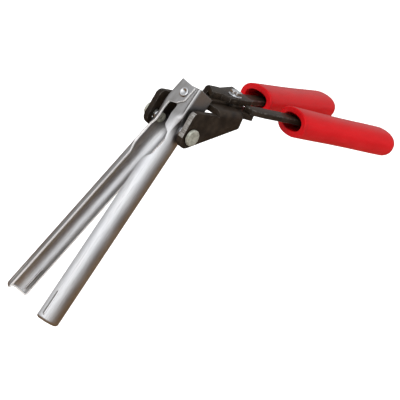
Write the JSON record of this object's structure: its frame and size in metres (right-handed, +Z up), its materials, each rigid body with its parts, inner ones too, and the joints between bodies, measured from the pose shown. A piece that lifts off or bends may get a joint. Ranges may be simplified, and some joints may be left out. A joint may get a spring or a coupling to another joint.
{
  "type": "squeeze handled spreading clamp",
  "caption": "Hand clamp whose squeeze handles spread two long leaning half-tube steel jaws hinged at their top tabs, with red dipped grips.",
  "frame": {"origin": "main bolt axis, in the middle of the spine plate", "axes": "+X back along the handles, +Z up the main bolt axis, near lever and near jaw on -Y"},
  "size_m": [0.295, 0.098, 0.1841],
  "materials": {
    "galvanised_sheet": "drawn galvanised sheet, streaked along the jaw, satin to bright",
    "rivet_zinc": "dull zinc plated",
    "bright_zinc": "bright zinc plated",
    "black_steel": "brown-black oxide, semi-gloss, sheared edges bare",
    "red_dip": "glossy dipped vinyl"
  },
  "bodies": {
    "spine": {"spine_plate": "black_steel", "hinge_barrel": "bright_zinc", "hinge_pin": "bright_zinc", "pin_washer": "bright_zinc", "main_bolt": "bright_zinc", "main_nut": "bright_zinc", "top_washer": "bright_zinc", "bottom_washer": "bright_zinc"},
    "near_lever": {"near_plate": "black_steel", "near_bar": "black_steel", "near_grip": "red_dip"},
    "far_lever": {"far_plate": "black_steel", "far_bar": "black_steel", "far_grip": "red_dip"},
    "near_jaw_set": {"near_jaw": "galvanised_sheet", "near_rivet": "rivet_zinc", "near_spacer": "bright_zinc", "near_clench": "rivet_zinc"},
    "far_jaw_set": {"far_jaw": "galvanised_sheet", "far_rivet": "rivet_zinc", "far_spacer": "bright_zinc", "far_clench": "rivet_zinc"}
  },
  "joints": [
    {"name": "near_lever_hinge", "type": "hinge", "parent": "spine", "child": "near_lever", "pos_m": [0, 0, 0], "axis": [0, 0, 1], "range_deg": [-2.25, 1.32]},
    {"name": "far_lever_hinge", "type": "hinge", "parent": "spine", "child": "far_lever", "pos_m": [0, 0, 0], "axis": [0, 0, -1], "range_deg": [-2.25, 1.32]},
    {"name": "near_jaw_hinge", "type": "hinge", "parent": "spine", "child": "near_jaw_set", "pos_m": [-0.045, 0, -0.0017], "axis": [-0.9272, 0, 0.3746], "range_deg": [-5.1, 3]},
    {"name": "far_jaw_hinge", "type": "hinge", "parent": "spine", "child": "far_jaw_set", "pos_m": [-0.045, 0, -0.0017], "axis": [0.9272, 0, -0.3746], "range_deg": [-5.1, 3]}
  ],
  "couplings": [
    {"joint": "near_jaw_hinge", "follows": "near_lever_hinge", "ratio": 2.2714},
    {"joint": "far_jaw_hinge", "follows": "far_lever_hinge", "ratio": 2.2714}
  ]
}
